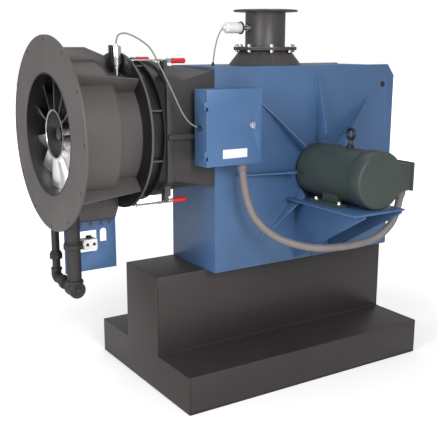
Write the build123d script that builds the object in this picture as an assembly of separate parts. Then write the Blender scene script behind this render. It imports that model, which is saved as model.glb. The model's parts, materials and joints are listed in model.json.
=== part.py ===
from build123d import *
import math
import os

# Package gas burner: fan housing on a skid, duct, register head and gas train.
# Millimetres. +X runs from the burner mouth to the rear, -Y is the motor side, +Z is up.
os.makedirs("parts", exist_ok=True)

# Skid
SKID_X = 825
SKID_Y0, SKID_Y1 = -485, 585
STEP_Z = 210
COL_Y0, COL_Y1 = -137, 237
COL_Z = 665
SHEET = 8

# Fan housing
HX0, HX1 = -512, 776
HY = 235
HZ0, HZ1 = COL_Z, 1785
PLATE = 8
WRAP = 6
FAN_X, FAN_Z = 176, 1200
IMP_R = 400
EYE_R = 200
WHEEL_BACK = -HY + 95
WHEEL_FRONT = HY - 115
COLLAR_END = HY - 67
DUCT_Z0, DUCT_Z1 = 1151, 1770
DUCT_Y = 225

# Motor
MOTOR_R = 150
COVER_R = 157
STATOR_R = 120
ROTOR_R = 65
AIR_GAP = 0.6
SHAFT_R = 20.6
RUN_FIT = 0.05
SHELF_Z = 1041
SHELF_T = 11
SHELF_Y = -815
FEET_Z = FAN_Z - 158.75

# Stack
STACK_X = -24
PIPE_R, PIPE_WALL = 114.5, 6
FLANGE_R = 181
STACK_BOLT_PCD = 295
HOOD_TOP = HZ1 + 83
FLANGE_THICK = 9
STACK_TOP = HZ1 + 305
SENSOR_Z = HZ1 + 205

# Burner head
AXIS_Z = 1459
FLANGE_X, FLANGE_T = -1351, 12
FLANGE_RO, FLANGE_RI = 487, 308
BOLT_PCD, BOLT_HOLE_R, BOLT_COUNT = 929, 8, 12
DRUM_R, DRUM_X1 = 360, -1115
REAR_R, RING_X = 302, -975
RING_T, RING_R = 10, 403
CASE_R = 345
RIM_X = -889
FRAME_X0, FRAME_X1 = -810, -772
FRAME_Y, FRAME_R = 254, 358
SLEEVE_RI = 300
HUB_R = 123

# Clamps
CLAMP_Y = 200
PIVOT_X, PIVOT_UP = -800, CASE_R + 10
PIN_B = (28, 10)
CLAMP_PIN_R = 4

# Control box
BOX_X0, BOX_X1 = -667, -328
BOX_Z0, BOX_Z1 = 1290, 1680
BOX_Y0, BOX_Y1 = -387, -285
DOOR_Y0, DOOR_Y1 = -400, -388.5
HINGE = (-672, -395)
KNOB = (-386, 1492)

# Pipes and cords
CONDUIT_D = 42
SMALL_R, LARGE_R = 21, 36


def box(x0, x1, y0, y1, z0, z1):
    """Box between two corners."""
    middle = Pos((x0 + x1) / 2, (y0 + y1) / 2, (z0 + z1) / 2)
    return middle * Box(x1 - x0, y1 - y0, z1 - z0)


def rod(start, way, radius, length):
    """Solid cylinder from a point along a direction."""
    return extrude(Plane(origin=start, z_dir=way) * Circle(radius), length)


def tube(start, way, outer, inner, length):
    """Hollow cylinder from a point along a direction."""
    ring = Circle(outer) - Circle(inner)
    return extrude(Plane(origin=start, z_dir=way) * ring, length)


def hexagon(start, way, flats, length):
    """Hexagonal prism from a point along a direction."""
    outline = RegularPolygon(flats / 2, 6, major_radius=False)
    return extrude(Plane(origin=start, z_dir=way) * outline, length)


def plate_y(points, y0, y1):
    """Plate across Y with an outline of (x, z) points."""
    face = make_face(Polyline(*[(x, y0, z) for x, z in points], close=True))
    return extrude(face, amount=y1 - y0, dir=(0, 1, 0))


def plate_x(points, x0, x1):
    """Plate across X with an outline of (y, z) points."""
    face = make_face(Polyline(*[(x0, y, z) for y, z in points], close=True))
    return extrude(face, amount=x1 - x0, dir=(1, 0, 0))


def turned_x(points):
    """Ring about the burner axis with a profile of (x, radius) points."""
    face = make_face(Polyline(*[(x, 0, AXIS_Z + r) for x, r in points], close=True))
    return revolve(face, Axis((0, 0, AXIS_Z), (1, 0, 0)), 360)


def turned_y(points):
    """Ring about the fan axis with a profile of (y, radius) points."""
    face = make_face(Polyline(*[(FAN_X + r, y, FAN_Z) for y, r in points], close=True))
    return revolve(face, Axis((FAN_X, 0, FAN_Z), (0, 1, 0)), 360)


def turned_z(points):
    """Ring about the stack axis with a profile of (z, radius) points."""
    face = make_face(Polyline(*[(STACK_X + r, 0, z) for z, r in points], close=True))
    return revolve(face, Axis((STACK_X, 0, 0), (0, 0, 1)), 360)


def about_burner(shape, degrees):
    """Shape turned about the burner axis."""
    return shape.rotate(Axis((0, 0, AXIS_Z), (1, 0, 0)), degrees)


def about_fan(shape, degrees):
    """Shape turned about the fan axis."""
    return shape.rotate(Axis((FAN_X, 0, FAN_Z), (0, 1, 0)), degrees)


def cord(points, diameter):
    """Tube of straight runs and tangent arcs, and its printed bend radii."""
    runs = [math.dist(a, b) for a, b in zip(points, points[1:])]
    radii = []
    for i in range(1, len(points) - 1):
        a = Vector(*points[i]) - Vector(*points[i - 1])
        b = Vector(*points[i + 1]) - Vector(*points[i])
        turn = math.radians(a.get_angle(b))
        radii.append(0.45 * min(runs[i - 1], runs[i]) / math.tan(turn / 2))
    path = FilletPolyline(*points, radius=radii)
    start = Plane(origin=path @ 0, z_dir=path % 0)
    solid = sweep(start * Circle(diameter / 2), path=path)
    expect = path.length * math.pi * diameter ** 2 / 4
    print("cord", diameter, "length", round(path.length), "radii", [round(r) for r in radii],
          "volume ratio", round(solid.volume / expect, 4))
    return solid


NODES = {}


def group(*shapes):
    """Several solids in one node."""
    solids = []
    for shape in shapes:
        solids += shape.solids()
    return Compound(children=solids)


def skid():
    """Floor plate, step shell, column shell and the two end plates."""
    inner = SKID_X - SHEET
    NODES["plinth_floor_plate"] = box(-inner, inner, SKID_Y0, SKID_Y1, 0, SHEET)
    lower = box(-inner, inner, SKID_Y0, SKID_Y1, SHEET, STEP_Z)
    lower -= box(-inner, inner, SKID_Y0 + SHEET, SKID_Y1 - SHEET, SHEET, STEP_Z - SHEET)
    NODES["plinth_step_shell"] = lower
    column = box(-inner, inner, COL_Y0, COL_Y1, STEP_Z, COL_Z)
    column -= box(-inner, inner, COL_Y0 + SHEET, COL_Y1 - SHEET, STEP_Z, COL_Z - SHEET)
    NODES["plinth_column_shell"] = column
    outline = [(SKID_Y0, 0), (SKID_Y1, 0), (SKID_Y1, STEP_Z), (COL_Y1, STEP_Z),
               (COL_Y1, COL_Z), (COL_Y0, COL_Z), (COL_Y0, STEP_Z), (SKID_Y0, STEP_Z)]
    front = plate_x(outline, -SKID_X, -inner)
    rear = plate_x(outline, inner, SKID_X)
    NODES["plinth_end_plates"] = group(front, rear)


def housing():
    """Side plates, wrapper, ribs and inlet cone of the fan housing."""
    outline = [(HX0, HZ0), (HX1, HZ0), (HX1, HZ1 - 68), (HX1 - 52, HZ1), (HX0, HZ1)]
    lift = rod((687, -HY - 5, 1667), (0, 1, 0), 17.5, 2 * HY + 10)
    front = plate_y(outline, -HY, -HY + PLATE) - lift
    front -= rod((FAN_X, -HY - 5, FAN_Z), (0, 1, 0), 30, 30)
    NODES["fan_front_plate"] = front
    back = plate_y(outline, HY - PLATE, HY) - lift
    back -= rod((FAN_X, HY - 20, FAN_Z), (0, 1, 0), 240, 40)
    NODES["fan_back_plate"] = back
    y = HY - PLATE
    wrap = [(HX0, HZ0), (HX1, HZ0), (HX1, 1500), (560, HZ1), (HX0, HZ1)]
    hollow = [(HX0 + WRAP, HZ0 + WRAP), (HX1 - WRAP, HZ0 + WRAP), (HX1 - WRAP, 1498),
              (557, HZ1 - WRAP), (HX0 + WRAP, HZ1 - WRAP)]
    shell = plate_y(wrap, -y, y) - plate_y(hollow, -y, y)
    shell -= box(HX0 - 5, HX0 + WRAP + 5, -DUCT_Y + 5, DUCT_Y - 5, DUCT_Z0 + 5, DUCT_Z1 - 5)
    shell -= rod((STACK_X, 0, HZ1 - 20), (0, 0, 1), 200, 40)
    NODES["fan_wrapper"] = shell
    ribs = []
    for i in range(8):
        tip = 565 if i != 4 else 532
        profile = [(-HY, 160), (-HY, tip), (-HY - 4, tip), (-HY - 95, 225), (-HY - 95, 200),
                   (-HY - 30, 160)]
        outline = [(FAN_X - 4, y, FAN_Z + r) for y, r in profile]
        face = make_face(Polyline(*outline, close=True))
        rib = extrude(face, amount=8, dir=(1, 0, 0))
        rib = about_fan(rib, 45 * i)
        rib -= box(-30, 330, SHELF_Y, -HY, SHELF_Z - SHELF_T, SHELF_Z)
        if i == 4:
            rib -= box(-30, 330, SHELF_Y, -HY, SHELF_Z, FAN_Z)
        ribs.append(rib)
    NODES["front_plate_ribs"] = group(*ribs)
    bell = [(HY, 240), (HY, 232), (HY - 30, 212), (HY - 62, EYE_R - 6), (HY - 62, EYE_R - 10),
            (HY - 27, 206), (HY + 8, 228), (HY + 8, 262), (HY, 262)]
    NODES["fan_inlet_cone"] = turned_y(bell)


def fan_rotor():
    """Impeller, shaft with rotor core, and the motor's own fan."""
    rear = WHEEL_BACK + 5
    back = turned_y([(WHEEL_BACK, 50), (WHEEL_BACK, IMP_R), (rear, IMP_R), (rear, 50)])
    hub = turned_y([(WHEEL_BACK - 35, SHAFT_R), (WHEEL_BACK - 35, 50), (WHEEL_BACK + 80, 50),
                    (WHEEL_BACK + 80, SHAFT_R)])
    lip = WHEEL_FRONT + 5
    shroud = turned_y([(WHEEL_FRONT, IMP_R), (lip, IMP_R), (lip, EYE_R + 5),
                       (COLLAR_END, EYE_R + 5), (COLLAR_END, EYE_R), (WHEEL_FRONT, EYE_R)])
    blade = box(-3, 3, rear, WHEEL_FRONT, 250, IMP_R - 4)
    blade = blade.rotate(Axis((0, 0, 322), (0, 1, 0)), 42)
    blade = Pos(FAN_X, 0, FAN_Z) * blade
    blades = [about_fan(blade, 30 * i) for i in range(12)]
    wheel = back + hub
    for one in blades:
        wheel += one
    NODES["impeller"] = wheel + shroud
    shaft = rod((FAN_X, -752, FAN_Z), (0, 1, 0), SHAFT_R, 752 + WHEEL_BACK + 80)
    core = tube((FAN_X, -600, FAN_Z), (0, 1, 0), ROTOR_R, SHAFT_R - 1, 180)
    NODES["fan_shaft"] = shaft + core
    cool = turned_y([(-750, SHAFT_R), (-750, 40), (-715, 40), (-715, SHAFT_R)])
    cool += turned_y([(-718, 38), (-718, 130), (-715, 130), (-715, 38)])
    vane = box(-2, 2, -750, -716, 38, 130)
    vane = Pos(FAN_X, 0, FAN_Z) * vane
    for i in range(8):
        cool += about_fan(vane, 45 * i)
    NODES["cooling_fan"] = cool


def motor():
    """Frame, end bells, cover, stator, bearings, eye bolt and terminal box."""
    frame = tube((FAN_X, -690, FAN_Z), (0, 1, 0), MOTOR_R, STATOR_R, 360)
    core = rod((FAN_X, -690, FAN_Z), (0, 1, 0), MOTOR_R - 10, 360)
    for side in (-1, 1):
        x = FAN_X + side * 127
        frame += box(x - 26, x + 26, -632, -387, SHELF_Z, SHELF_Z + 18)
        x = FAN_X + side * 98
        frame += box(x - 14, x + 14, -572, -447, SHELF_Z + 18, FAN_Z - 60) - core
    frame += box(312, 345, -722 + 32, -600, 1150, 1245) - rod(
        (FAN_X, -700, FAN_Z), (0, 1, 0), MOTOR_R - 10, 400)
    NODES["motor_frame"] = frame
    bore = SHAFT_R + 20
    drive = turned_y([(-330, bore), (-330, MOTOR_R), (-268, MOTOR_R), (-256, MOTOR_R - 10),
                      (-256, SHAFT_R + 1), (-266, SHAFT_R + 1), (-266, bore)])
    fan_end = turned_y([(-690, bore), (-690, MOTOR_R - 2), (-706, MOTOR_R - 10), (-710, 80),
                        (-710, SHAFT_R + 1), (-704, SHAFT_R + 1), (-704, bore)])
    NODES["motor_end_bells"] = group(drive, fan_end)
    cover = turned_y([(-785, 0), (-785, COVER_R - 8), (-777, COVER_R), (-690, COVER_R),
                      (-690, MOTOR_R), (-706, MOTOR_R), (-706, COVER_R - 4), (-775, COVER_R - 4),
                      (-782, COVER_R - 10), (-782, 0)])
    NODES["motor_fan_cover"] = cover
    gap = ROTOR_R + AIR_GAP
    NODES["stator_core"] = tube((FAN_X, -600, FAN_Z), (0, 1, 0), STATOR_R, gap, 180)
    inner = SHAFT_R + RUN_FIT
    NODES["motor_bearings"] = group(
        tube((FAN_X, -330, FAN_Z), (0, 1, 0), bore, inner, 30),
        tube((FAN_X, -704, FAN_Z), (0, 1, 0), bore, inner, 24))
    eye = Pos(FAN_X, -535, 1425) * (Rot(0, 90, 0) * Torus(28, 9))
    shank = rod((FAN_X, -535, FAN_Z + MOTOR_R - 12), (0, 0, 1), 10, 54)
    collar = rod((FAN_X, -535, FAN_Z + MOTOR_R), (0, 0, 1), 20, 12)
    bolt = eye + shank + collar
    bolt -= rod((FAN_X, -600, FAN_Z), (0, 1, 0), MOTOR_R, 200)
    NODES["motor_eye_bolt"] = bolt
    case = box(345, 440, -745, -600, 1120, 1270) - box(351, 440, -739, -606, 1126, 1264)
    cap = box(440, 456, -749, -596, 1116, 1274)
    NODES["terminal_box"] = group(case, cap)


def shelf():
    """Motor shelf and its two side gussets."""
    NODES["motor_shelf"] = box(-30, 330, SHELF_Y, -HY, SHELF_Z - SHELF_T, SHELF_Z)
    under = SHELF_Z - SHELF_T
    outline = [(-HY, under), (SHELF_Y, under), (SHELF_Y, under - 12), (-HY, 676)]
    NODES["shelf_gussets"] = group(plate_x(outline, 40, 50), plate_x(outline, 302, 312))


def bolts():
    """Hex bolts at the motor feet, the stack flanges and the bracket joint."""
    heads = []
    for side in (-1, 1):
        for y in (-605, -414):
            x = FAN_X + side * 127
            heads.append(hexagon((x, y, SHELF_Z + 18), (0, 0, 1), 24, 11))
    for i in range(8):
        a = math.radians(22.5 + 45 * i)
        r = STACK_BOLT_PCD / 2 + 18
        x, y = STACK_X + r * math.cos(a), r * math.sin(a)
        heads.append(hexagon((x, y, HOOD_TOP + 2 * FLANGE_THICK), (0, 0, 1), 20, 12))
        heads.append(hexagon((x, y, HOOD_TOP), (0, 0, -1), 20, 10))
    for x in (-1260, -1200, -1140, -1080, -1030):
        heads.append(hexagon((x, -12, 979), (0, -1, 0), 19, 9))
    NODES["hex_bolts"] = group(*heads)


def stack():
    """Hood, flanged pipe, sensor and its lead."""
    joint = HOOD_TOP + FLANGE_THICK
    upper = joint + FLANGE_THICK
    hood = turned_z([(HZ1, 210), (HOOD_TOP, 145), (HOOD_TOP, FLANGE_R), (joint, FLANGE_R),
                     (joint, 139), (HOOD_TOP - 2, 139), (HZ1, 204)])
    NODES["inlet_hood"] = hood
    inner = PIPE_R - PIPE_WALL
    under = STACK_TOP - FLANGE_THICK
    pipe = turned_z([(joint, inner), (joint, FLANGE_R), (upper, FLANGE_R), (upper, PIPE_R),
                     (under, PIPE_R), (under, FLANGE_R + 1.5), (STACK_TOP, FLANGE_R + 1.5),
                     (STACK_TOP, inner)])
    for i in range(8):
        a = math.radians(22.5 + 45 * i)
        r = STACK_BOLT_PCD / 2
        pipe -= rod((STACK_X + r * math.cos(a), r * math.sin(a), under - 5), (0, 0, 1), 9, 20)
    pipe -= rod((STACK_X - PIPE_R - 5, 0, SENSOR_Z), (1, 0, 0), 12, 20)
    NODES["stack_pipe"] = pipe
    left = STACK_X - PIPE_R
    sensor = rod((left + 4, 0, SENSOR_Z), (-1, 0, 0), 12, 56)
    sensor += rod((-190, 0, SENSOR_Z), (-1, 0, 0), 35, 9)
    sensor += rod((-199, 0, SENSOR_Z), (-1, 0, 0), 30, 100)
    sensor += rod((-299, 0, SENSOR_Z - 4), (-1, 0, 0), 11, 16)
    NODES["stack_sensor"] = sensor
    route = [(-315, 0, 1986), (-338, 0, 1962), (-358, 0, 1905), (-372, 0, 1845), (-378, 0, 1785)]
    NODES["sensor_cable"] = cord(route, 7) - NODES["stack_sensor"] - NODES["fan_wrapper"]


def duct_section(x, flat, radius):
    """Closed outline of the duct's arched end."""
    up = math.sqrt(radius ** 2 - flat ** 2)
    edges = [Line((x, -flat, AXIS_Z - up), (x, -flat, AXIS_Z + up)),
             ThreePointArc((x, -flat, AXIS_Z + up), (x, 0, AXIS_Z + radius),
                           (x, flat, AXIS_Z + up)),
             Line((x, flat, AXIS_Z + up), (x, flat, AXIS_Z - up)),
             ThreePointArc((x, flat, AXIS_Z - up), (x, 0, AXIS_Z - radius),
                           (x, -flat, AXIS_Z - up))]
    return make_face(edges)


def duct_rectangle(x, half, z0, z1):
    """Closed outline of the duct's square end."""
    return make_face(Polyline((x, -half, z0), (x, -half, z1), (x, half, z1), (x, half, z0),
                              close=True))


def duct():
    """Transition duct and its end frame."""
    wall = 5
    outer = loft([duct_section(FRAME_X1, 240, 344), duct_rectangle(HX0, DUCT_Y, DUCT_Z0, DUCT_Z1)],
                 ruled=True)
    inner = loft([duct_section(FRAME_X1, 240 - wall, 344 - wall),
                  duct_rectangle(HX0, DUCT_Y - wall, DUCT_Z0 + wall, DUCT_Z1 - wall)], ruled=True)
    NODES["transition_duct"] = outer - inner
    ring = extrude(duct_section(FRAME_X0, FRAME_Y, FRAME_R), amount=FRAME_X1 - FRAME_X0,
                   dir=(1, 0, 0))
    ring -= extrude(duct_section(FRAME_X0, 235, 339), amount=FRAME_X1 - FRAME_X0, dir=(1, 0, 0))
    NODES["duct_frame"] = ring


def head():
    """Flange, drums, sleeve, ring, casing, rods and gussets of the register."""
    face = FLANGE_X + FLANGE_T
    flange = turned_x([(FLANGE_X, FLANGE_RI), (FLANGE_X, FLANGE_RO), (face, FLANGE_RO),
                       (face, FLANGE_RI)])
    for i in range(BOLT_COUNT):
        a = math.radians(360 * i / BOLT_COUNT)
        y, z = BOLT_PCD / 2 * math.sin(a), AXIS_Z + BOLT_PCD / 2 * math.cos(a)
        flange -= rod((FLANGE_X - 5, y, z), (1, 0, 0), BOLT_HOLE_R, 30)
    NODES["mounting_flange"] = flange
    NODES["front_drum"] = turned_x([(face, DRUM_R - 6), (face, DRUM_R), (DRUM_X1, DRUM_R),
                                    (DRUM_X1 + 8, DRUM_R), (DRUM_X1 + 8, REAR_R),
                                    (DRUM_X1, REAR_R - 2), (DRUM_X1, DRUM_R - 6)])
    NODES["throat_sleeve"] = turned_x([(FLANGE_X, SLEEVE_RI), (FLANGE_X, FLANGE_RI),
                                       (DRUM_X1, FLANGE_RI), (DRUM_X1, SLEEVE_RI)])
    NODES["rear_drum"] = turned_x([(DRUM_X1 + 8, REAR_R - 6), (DRUM_X1 + 8, REAR_R),
                                   (RING_X, REAR_R), (RING_X, REAR_R - 6)])
    NODES["ring_plate"] = turned_x([(RING_X, REAR_R - 6), (RING_X, RING_R),
                                    (RING_X + RING_T, RING_R), (RING_X + RING_T, REAR_R - 6)])
    case = turned_x([(RING_X + RING_T, CASE_R - 6), (RING_X + RING_T, CASE_R),
                     (RIM_X, CASE_R), (RIM_X, CASE_R - 6)])
    neck = extrude(duct_section(RIM_X, 241, 345), amount=FRAME_X0 - RIM_X, dir=(1, 0, 0))
    rim = rod((RIM_X, 0, AXIS_Z), (1, 0, 0), CASE_R + 27, 8)
    case += neck + rim
    case -= extrude(duct_section(RIM_X, 235, 338), amount=FRAME_X0 - RIM_X, dir=(1, 0, 0))
    NODES["casing_drum"] = case
    rods = []
    for turn in (20, 67, 113, 160, 200, 247, 293, 340):
        a = math.radians(turn)
        y, z = (CASE_R + 18) * math.cos(a), AXIS_Z + (CASE_R + 18) * math.sin(a)
        rods.append(rod((RING_X + RING_T, y, z), (1, 0, 0), 5, RIM_X - RING_X - RING_T))
    NODES["tie_rods"] = group(*rods)
    cores = rod((face, 0, AXIS_Z), (1, 0, 0), DRUM_R, DRUM_X1 + 8 - face)
    cores += rod((DRUM_X1 + 8, 0, AXIS_Z), (1, 0, 0), REAR_R, RING_X - DRUM_X1 - 8)
    fins = []
    for turn in (0, 45, 135, 180, 225, 315):
        if turn == 0:
            rim = [(face, 427), (-1139, 427), (-988, 367), (RING_X, 367)]
        elif turn == 180:
            rim = [(face, 494), (-1005, 494), (RING_X, 403)]
        else:
            rim = [(face, 440), (RING_X, 392)]
        outline = [(face, 280)] + rim + [(RING_X, 280)]
        fin = plate_y([(x, AXIS_Z + r) for x, r in outline], -4, 4) - cores
        fins.append(about_burner(fin, turn))
    NODES["head_gussets"] = group(*fins)
    bracket = box(-1290, -1000, -12, -4, 729, 993)
    bracket -= box(-1203, -1110, -20, 0, 832, 945)
    bracket -= box(-1091, -1053, -20, 0, 879, 931)
    bracket -= rod((-1072, -20, 931), (0, 1, 0), 19, 20)
    NODES["gas_bracket_plate"] = bracket


def swirler():
    """Hub, vanes and central lance."""
    NODES["swirl_hub"] = turned_x([(-1315, HUB_R - 6), (-1315, HUB_R), (-1195, HUB_R),
                                   (-1195, 30), (-1203, 30), (-1203, HUB_R - 6)])
    hub = rod((-1400, 0, AXIS_Z), (1, 0, 0), HUB_R, 400)
    limit = rod((-1400, 0, AXIS_Z), (1, 0, 0), SLEEVE_RI, 400)
    vanes = []
    for i in range(12):
        vane = Rot(0, 0, 38) * box(-60, 60, -2, 2, 90, 320)
        vane = (Pos(-1255, 0, AXIS_Z) * vane) & limit
        vanes.append(about_burner(vane - hub, 30 * i + 15))
    NODES["swirl_vanes"] = group(*vanes)
    lance = tube((-1290, 0, AXIS_Z), (1, 0, 0), 30, 24, 340)
    lance += rod((-1292, 0, AXIS_Z), (1, 0, 0), 34, 14)
    for turn in (60, 180, 300):
        arm = box(-1000, -990, -12, 12, AXIS_Z + 28, AXIS_Z + REAR_R)
        arm &= rod((-1010, 0, AXIS_Z), (1, 0, 0), REAR_R - 6, 40)
        lance += about_burner(arm, turn)
    NODES["gas_lance"] = lance


def gas_train():
    """Risers, manifold, fittings and pressure switch."""
    drum = rod((-1400, 0, AXIS_Z), (1, 0, 0), DRUM_R, 400)
    small = tube((-1298, 100, 715), (0, 0, 1), SMALL_R, SMALL_R - 4, 430) - drum
    large = tube((-1298, -150, 730), (0, 0, 1), LARGE_R, LARGE_R - 5, 430) - drum
    cross = tube((-1298, -110, 690), (0, 1, 0), 25, 20, 185)
    NODES["gas_pipes"] = group(small, large, cross)
    tee = rod((-1298, -190, 690), (0, 1, 0), 43, 80) + rod((-1298, -150, 690), (0, 0, 1), 44, 44)
    tee -= rod((-1298, -180, 690), (0, 1, 0), 20, 80)
    tee += box(-1312, -1284, -206, -190, 676, 704)
    tee -= rod((-1298, -150, 690), (0, 0, 1), LARGE_R, 44) & box(-1400, -1200, -300, 0, 730, 760)
    union = hexagon((-1298, -40, 690), (0, 1, 0), 66, 40) - rod((-1298, -50, 690), (0, 1, 0), 25, 60)
    elbow = rod((-1298, 75, 690), (0, 1, 0), 29, 48)
    elbow += rod((-1298, 100, 667), (0, 0, 1), 28, 70)
    joint = hexagon((-1298, 100, 790), (0, 0, 1), 62, 40)
    joint -= rod((-1298, 100, 780), (0, 0, 1), SMALL_R, 60)
    collar = hexagon((-1298, -150, 900), (0, 0, 1), 92, 34)
    collar -= rod((-1298, -150, 890), (0, 0, 1), LARGE_R, 60)
    pipes = NODES["gas_pipes"]
    NODES["pipe_fittings"] = group(*[one - pipes for one in (tee, union, elbow, joint, collar)])
    block = box(-1240, -1165, -150, -95, 880, 935)
    block += rod((-1202, -122, 934), (0, 0, 1), 16, 15)
    nipple = rod((-1297 + LARGE_R, -140, 912), (1, 0, 0), 9, 58 - LARGE_R)
    block += nipple - pipes - NODES["pipe_fittings"]
    NODES["pressure_switch"] = block


def scanner():
    """Flame scanner on the rear drum and its lead."""
    x, y = -1001, -80
    body = tube((x, y, 1700), (0, 0, 1), 14, 9, 100) + rod((x, y, 1800), (0, 0, 1), 24, 92)
    body += rod((x, y, 1892), (0, 0, 1), 12, 8)
    body += box(x - 34, x - 22, y - 12, y + 22, 1790, 1896)
    body -= rod((-1100, 0, AXIS_Z), (1, 0, 0), REAR_R, 200)
    NODES["flame_scanner"] = body
    route = [(-1001, -80, 1900), (-999, -80, 1940), (-962, -79, 1958), (-920, -92, 1946),
             (-888, -140, 1918), (-871, -206, 1882), (-853, -252, 1806), (-822, -300, 1708),
             (-792, -330, 1616), (-768, -346, 1555), (-724, -349, 1504), (-667, -345, 1482)]
    NODES["scanner_cable"] = cord(route, 8) - NODES["flame_scanner"] - NODES["control_box"]


def control():
    """Control box, door, latch, brackets and conduit."""
    case = box(BOX_X0, BOX_X1, BOX_Y0, BOX_Y1, BOX_Z0, BOX_Z1)
    case -= box(BOX_X0 + 3, BOX_X1 - 3, BOX_Y0, BOX_Y1 - 3, BOX_Z0 + 3, BOX_Z1 - 3)
    case += box(BOX_X0 + 30, BOX_X1 - 30, BOX_Y1 - 5, BOX_Y1, BOX_Z0 + 30, BOX_Z1 - 30)
    hx, hy = HINGE
    door = box(BOX_X0 + 1, BOX_X1, DOOR_Y0, DOOR_Y1, BOX_Z0, BOX_Z1)
    door -= box(BOX_X0 + 3, BOX_X1 - 2, DOOR_Y0 + 2, DOOR_Y1, BOX_Z0 + 2, BOX_Z1 - 2)
    for z in (BOX_Z0 + 50, BOX_Z1 - 90):
        lug = box(hx - 4, BOX_X0, hy - 4, BOX_Y0 + 12, z - 14, z)
        lug -= box(BOX_X0, BOX_X0 + 9, hy - 10, hy + 20, z - 14, z)
        case += lug + rod((hx, hy, z), (0, 0, 1), 2.5, 32)
        door -= box(BOX_X0, BOX_X0 + 9, DOOR_Y0 - 1, DOOR_Y1 + 1, z - 16, z + 1)
        eye = tube((hx, hy, z + 0.5), (0, 0, 1), 4.5, 2.5 + RUN_FIT, 30)
        link = box(hx + 3.2, BOX_X0 + 2, hy - 4, hy, z + 3, z + 30.5)
        door += eye + link
    kx, kz = KNOB
    door += rod((kx, DOOR_Y0, kz), (0, 1, 0), 11, 4)
    door -= rod((kx, DOOR_Y0 - 5, kz), (0, 1, 0), 5 + RUN_FIT, 30)
    NODES["control_box"] = case
    NODES["control_door"] = door
    knob = rod((kx, DOOR_Y0 - 0.4, kz), (0, -1, 0), 14, 7)
    knob += box(kx - 4, kx + 4, DOOR_Y0 - 20, DOOR_Y0 - 7, kz - 24, kz + 24)
    knob += rod((kx, DOOR_Y0 - 1, kz), (0, 1, 0), 5, 14)
    NODES["door_latch"] = knob
    arm = box(-806, -620, -262, -254, 1425, 1450) + box(-650, -620, BOX_Y1, -262, 1425, 1450)
    rails = [box(-480, -360, BOX_Y1, -HY, z, z + 40) for z in (1340, 1600)]
    NODES["box_brackets"] = group(arm, *rails)
    route = [(-412, -345, 1290), (-398, -352, 1060), (-305, -445, 900), (-150, -570, 834),
             (20, -635, 826), (240, -655, 836), (344, -680, 896), (408, -688, 995),
             (420, -690, 1120)]
    NODES["conduit"] = cord(route, CONDUIT_D) - NODES["control_box"] - NODES["terminal_box"]


def clamp_parts(side, up):
    """One toggle clamp: base with pin, keeper, lever and U-bolt, for one corner."""
    y = side * CLAMP_Y

    def z(height):
        return AXIS_Z + up * height

    def slab(x0, x1, y0, y1, h0, h1):
        lows, highs = sorted((z(h0), z(h1)))
        return box(x0, x1, y + y0, y + y1, lows, highs)

    bx, bz = PIVOT_X + PIN_B[0], PIVOT_UP + PIN_B[1]
    base = slab(-812, -776, -21, 21, 270, PIVOT_UP - 22)
    for cheek in (-21, 15):
        base += slab(-812, -788, cheek, cheek + 6, PIVOT_UP - 25, PIVOT_UP + 9)
    base &= slab(FRAME_X0, -776, -30, 30, 260, PIVOT_UP + 25)
    base += rod((PIVOT_X, y - 21, z(PIVOT_UP)), (0, 1, 0), CLAMP_PIN_R, 42)
    base -= extrude(duct_section(FRAME_X0 - 10, FRAME_Y, FRAME_R), amount=80, dir=(1, 0, 0))
    keeper = slab(RING_X + 2, RING_X + RING_T - 1, -5, 5, PIVOT_UP - 25, PIVOT_UP + 19)
    keeper -= rod((RING_X - 50, 0, AXIS_Z), (1, 0, 0), RING_R, 100)
    fit = CLAMP_PIN_R + RUN_FIT
    lever = rod((PIVOT_X, y - 6, z(PIVOT_UP)), (0, 1, 0), 9, 12)
    lever += rod((bx, y - 6, z(bz)), (0, 1, 0), 8, 12)
    lever += slab(PIVOT_X, PIVOT_X + 34, -6, 6, PIVOT_UP - 6, PIVOT_UP + 8)
    lever += slab(PIVOT_X + 30, -752, -6, 6, PIVOT_UP - 2, PIVOT_UP + 12)
    lever += rod((-752, y, z(PIVOT_UP + 5)), (1, 0, 0), 14, 80)
    lever -= rod((PIVOT_X, y - 40, z(PIVOT_UP)), (0, 1, 0), fit, 80)
    lever += rod((bx, y - 13.5, z(bz)), (0, 1, 0), CLAMP_PIN_R, 27)
    reach = RING_X - 6
    bow = rod((reach, y - 13.5, z(bz)), (0, 1, 0), 3.5, 27)
    for leg in (-10, 10):
        bow += rod((reach, y + leg, z(bz)), (1, 0, 0), 3.5, bx - reach)
        bow += rod((bx, y + leg - 3.4, z(bz)), (0, 1, 0), 8, 6.8)
    bow -= rod((bx, y - 40, z(bz)), (0, 1, 0), fit, 80)
    return base, keeper, lever, bow


def clamps():
    """Four toggle clamps between the ring plate and the duct frame."""
    fixed = []
    names = {(-1, 1): "a", (1, 1): "b", (-1, -1): "c", (1, -1): "d"}
    for (side, up), name in names.items():
        base, keeper, lever, bow = clamp_parts(side, up)
        fixed += [base, keeper]
        NODES["clamp_lever_" + name] = lever
        NODES["clamp_bow_" + name] = bow
    NODES["clamp_bases"] = group(*fixed)


def main():
    """Build every node and write its STEP file."""
    skid()
    housing()
    fan_rotor()
    motor()
    shelf()
    bolts()
    stack()
    duct()
    head()
    swirler()
    gas_train()
    control()
    scanner()
    clamps()
    for name, shape in NODES.items():
        export_step(shape, "parts/" + name + ".step")
        print(name, len(shape.solids()), round(shape.volume))
    print(len(NODES), "nodes")


main()
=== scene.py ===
"""Dresses a package gas burner with its finishes, details, cords and stage."""
import json
import math

import bmesh
import bpy
from mathutils import Matrix, Vector

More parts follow.
